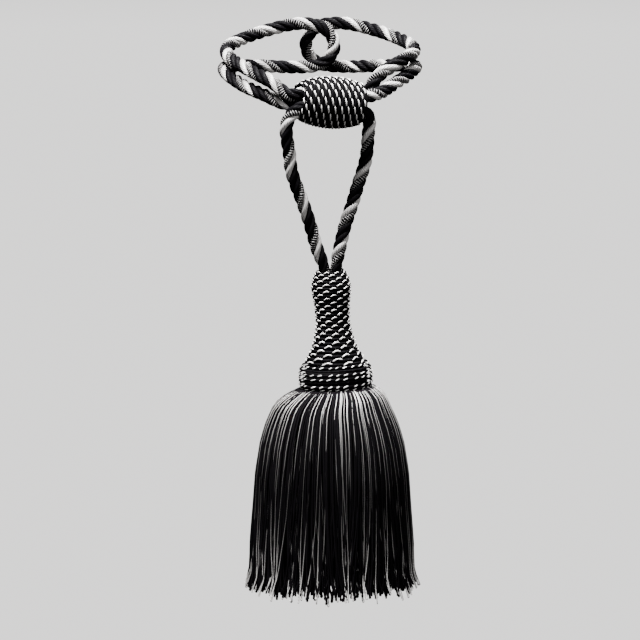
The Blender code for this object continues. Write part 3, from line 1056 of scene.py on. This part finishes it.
CAMERA_PLACE = (0.0, -2.088, 0.0799)
CAMERA_DROP = math.radians(7.2)
CAMERA_NEAR = 0.01
FOCAL_PIXELS = 3300
FRAME_PIXELS = 640
SENSOR = 36.0
FLOOR_HEIGHT = -900.0
FLOOR_RADIUS = 24000.0
FLOOR_SEGMENTS = 64
FLOOR_COLOUR = (0.80, 0.79, 0.78, 1.0)
FLOOR_ROUGHNESS = 0.8
FLOOR_LIGHT = 4.4
FLOOR_LIGHTS = 4  # one for each quarter of the backdrop
FLOOR_LIGHT_TILT = math.radians(70.5)  # lights the floor and the backdrop alike
SWEEP_RADIUS = 3000.0  # of the bend that takes the floor up into the backdrop
SWEEP_STEPS = 9
BACKDROP_HEIGHT = 5000.0
STUDIO_COLOUR = (0.86, 0.85, 0.85, 1.0)
STUDIO_STRENGTH = 0.04
MIDDLE = (0.0, -0.088, -0.14)  # what the lamps point at, in metres
Lamp = namedtuple("Lamp", "name, place, size, power, spread")
LAMPS = (
    Lamp("key", place=(-0.34, -0.38, 1.35), size=0.45, power=85, spread=80),
    Lamp("back", place=(0.4, 0.5, 1.25), size=0.5, power=28, spread=80),
    Lamp("fill", place=(0.9, -1.6, 0.5), size=1.0, power=6, spread=60),
)


def add_camera():
    data = bpy.data.cameras.new("camera")
    data.sensor_width = SENSOR
    data.lens = FOCAL_PIXELS / FRAME_PIXELS * SENSOR
    data.clip_start = CAMERA_NEAR
    camera = bpy.data.objects.new("camera", data)
    camera.location = CAMERA_PLACE
    camera.rotation_euler = (math.pi / 2 - CAMERA_DROP, 0, 0)
    bpy.context.scene.collection.objects.link(camera)
    bpy.context.scene.camera = camera


def add_floor():
    """A pale round floor that sweeps up into a backdrop, with lights of its own.

    What comes back is the collection that the lamps light: all but the floor.
    """
    profile = [(0.0, FLOOR_HEIGHT)]
    for angle in np.linspace(0.0, math.pi / 2, SWEEP_STEPS):
        reach = FLOOR_RADIUS + SWEEP_RADIUS * math.sin(angle)
        profile.append((reach, FLOOR_HEIGHT + SWEEP_RADIUS * (1 - math.cos(angle))))
    profile.append((FLOOR_RADIUS + SWEEP_RADIUS, BACKDROP_HEIGHT))
    mesh = turned_mesh(profile, FLOOR_SEGMENTS)
    for face in mesh.polygons:
        face.use_smooth = True
    finish = Finish("pale_floor", FLOOR_ROUGHNESS)
    finish.inputs["Base Color"].default_value = FLOOR_COLOUR
    mesh.materials.append(finish.material)
    floor = bpy.data.objects.new("floor", mesh)
    floor.visible_diffuse = False
    floor.visible_glossy = False
    floor.visible_shadow = False
    stage = bpy.data.collections.new("stage")
    bpy.context.scene.collection.children.link(stage)
    stage.objects.link(floor)
    for quarter in range(FLOOR_LIGHTS):
        data = bpy.data.lights.new(f"floor_light_{quarter + 1}", "SUN")
        data.energy = FLOOR_LIGHT
        light = bpy.data.objects.new(data.name, data)
        turn = (quarter + 0.5) * math.tau / FLOOR_LIGHTS
        light.rotation_euler = (FLOOR_LIGHT_TILT, 0, turn)
        light.light_linking.receiver_collection = stage
        light.light_linking.blocker_collection = stage
        bpy.context.scene.collection.objects.link(light)
    all_but_floor = bpy.data.collections.new("all_but_floor")
    all_but_floor.objects.link(floor)
    all_but_floor.collection_objects[0].light_linking.link_state = "EXCLUDE"
    return all_but_floor


def add_lamp(lamp, lit):
    """A soft round light; its spread is the angle in degrees that its beam opens to."""
    data = bpy.data.lights.new(lamp.name, "AREA")
    data.shape = "DISK"
    data.size = lamp.size
    data.energy = lamp.power
    data.spread = math.radians(lamp.spread)
    light = bpy.data.objects.new(lamp.name, data)
    light.location = lamp.place
    aim = Vector(MIDDLE) - Vector(lamp.place)
    light.rotation_euler = aim.to_track_quat("-Z", "Y").to_euler()
    light.light_linking.receiver_collection = lit
    bpy.context.scene.collection.objects.link(light)


def add_setting():
    add_camera()
    lit = add_floor()
    world = bpy.data.worlds.new("studio")
    world.use_nodes = True
    sky = world.node_tree.nodes["Background"]
    sky.inputs["Color"].default_value = STUDIO_COLOUR
    sky.inputs["Strength"].default_value = STUDIO_STRENGTH
    bpy.context.scene.world = world
    for lamp in LAMPS:
        add_lamp(lamp, lit)


add_setting()
add_ropes()
add_barrel()
add_head()
add_collar()
add_skirt()
